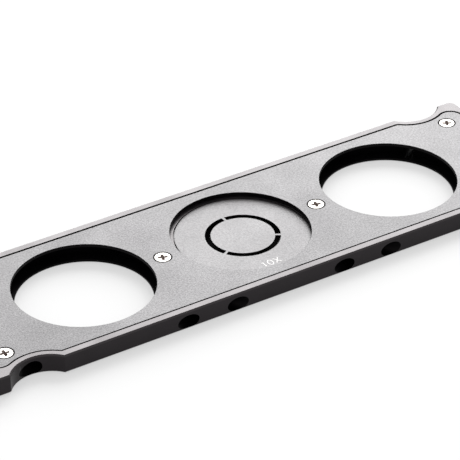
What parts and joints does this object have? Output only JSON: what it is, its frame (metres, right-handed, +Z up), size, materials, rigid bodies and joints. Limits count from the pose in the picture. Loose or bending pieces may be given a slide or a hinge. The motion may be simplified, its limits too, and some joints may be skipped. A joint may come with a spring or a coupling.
{
  "type": "phase contrast slider",
  "caption": "Slim black metal microscope slider with three round positions: open bores at both ends and a centrable ring-slit phase annulus in the middle, under an inlaid screwed cover plate.",
  "frame": {"origin": "centre of the underside, under the middle bore's axis", "axes": "+X along the slider, +Y away from the edge with the centring holes, +Z up through the cover plate"},
  "size_m": [0.176, 0.0504, 0.0053],
  "materials": {
    "black_anodised": "satin black anodised, milled",
    "textured_cover": "fine bead-blasted and anodised, dark grey, low sheen",
    "matte_mask": "matte black anodised sheet with a white filled mark",
    "nickel_screw": "bright nickel plated",
    "spring_steel": "blued spring steel",
    "black_oxide_screw": "black oxide"
  },
  "bodies": {
    "slider": {"slider_body": "black_anodised", "cover_plate": "textured_cover", "cover_screw_1": "nickel_screw", "cover_screw_2": "nickel_screw", "cover_screw_3": "nickel_screw", "cover_screw_4": "nickel_screw", "cover_screw_5": "nickel_screw", "cover_screw_6": "nickel_screw", "plunger_sleeve_1": "black_oxide_screw", "plunger_sleeve_2": "black_oxide_screw", "plunger_spring_1": "spring_steel", "plunger_spring_2": "spring_steel"},
    "centring_screw_1": {"centring_screw_1": "black_oxide_screw"},
    "annulus_cell": {"annulus_cell": "black_anodised", "annulus_mask": "matte_mask", "mask_lock_ring": "black_anodised"},
    "centring_screw_2": {"centring_screw_2": "black_oxide_screw"},
    "centring_screw_3": {"centring_screw_3": "black_oxide_screw"},
    "centring_screw_4": {"centring_screw_4": "black_oxide_screw"},
    "centring_screw_5": {"centring_screw_5": "black_oxide_screw"},
    "centring_screw_6": {"centring_screw_6": "black_oxide_screw"},
    "plunger_pin_1": {"plunger_pin_1": "nickel_screw"},
    "plunger_pin_2": {"plunger_pin_2": "nickel_screw"}
  },
  "joints": [
    {"name": "centring_screw_1_travel", "type": "slide", "parent": "slider", "child": "centring_screw_1", "axis": [0.7804, 0.6252, 0], "range_m": [-0.00105, 0.00095]},
    {"name": "annulus_cell_cross_slide", "type": "slide", "parent": "centring_screw_1", "child": "annulus_cell", "axis": [-0.6252, 0.7804, 0], "range_m": [-0.00026, 0.0015]},
    {"name": "centring_screw_2_travel", "type": "slide", "parent": "slider", "child": "centring_screw_2", "axis": [-0.7804, 0.6252, 0], "range_m": [-0.00026, 0.00147]},
    {"name": "centring_screw_3_travel", "type": "slide", "parent": "slider", "child": "centring_screw_3", "axis": [0.7804, 0.6252, 0], "range_m": [-0.001, 0.0025]},
    {"name": "centring_screw_4_travel", "type": "slide", "parent": "slider", "child": "centring_screw_4", "axis": [-0.7804, 0.6252, 0], "range_m": [-0.001, 0.0025]},
    {"name": "centring_screw_5_travel", "type": "slide", "parent": "slider", "child": "centring_screw_5", "axis": [0.7804, 0.6252, 0], "range_m": [-0.001, 0.0025]},
    {"name": "centring_screw_6_travel", "type": "slide", "parent": "slider", "child": "centring_screw_6", "axis": [-0.7804, 0.6252, 0], "range_m": [-0.001, 0.0025]},
    {"name": "plunger_pin_1_travel", "type": "slide", "parent": "slider", "child": "plunger_pin_1", "axis": [0.7804, 0.6252, 0], "range_m": [-0.00105, 0.00095], "deforming": ["plunger_spring_1"]},
    {"name": "plunger_pin_2_travel", "type": "slide", "parent": "slider", "child": "plunger_pin_2", "axis": [-0.7804, 0.6252, 0], "range_m": [-0.00026, 0.00147], "deforming": ["plunger_spring_2"]}
  ],
  "couplings": [
    {"joint": "centring_screw_2_travel", "follows": "annulus_cell_cross_slide", "ratio": 0.97592},
    {"joint": "plunger_pin_1_travel", "follows": "centring_screw_1_travel", "ratio": 1},
    {"joint": "plunger_pin_2_travel", "follows": "annulus_cell_cross_slide", "ratio": 0.97592}
  ]
}
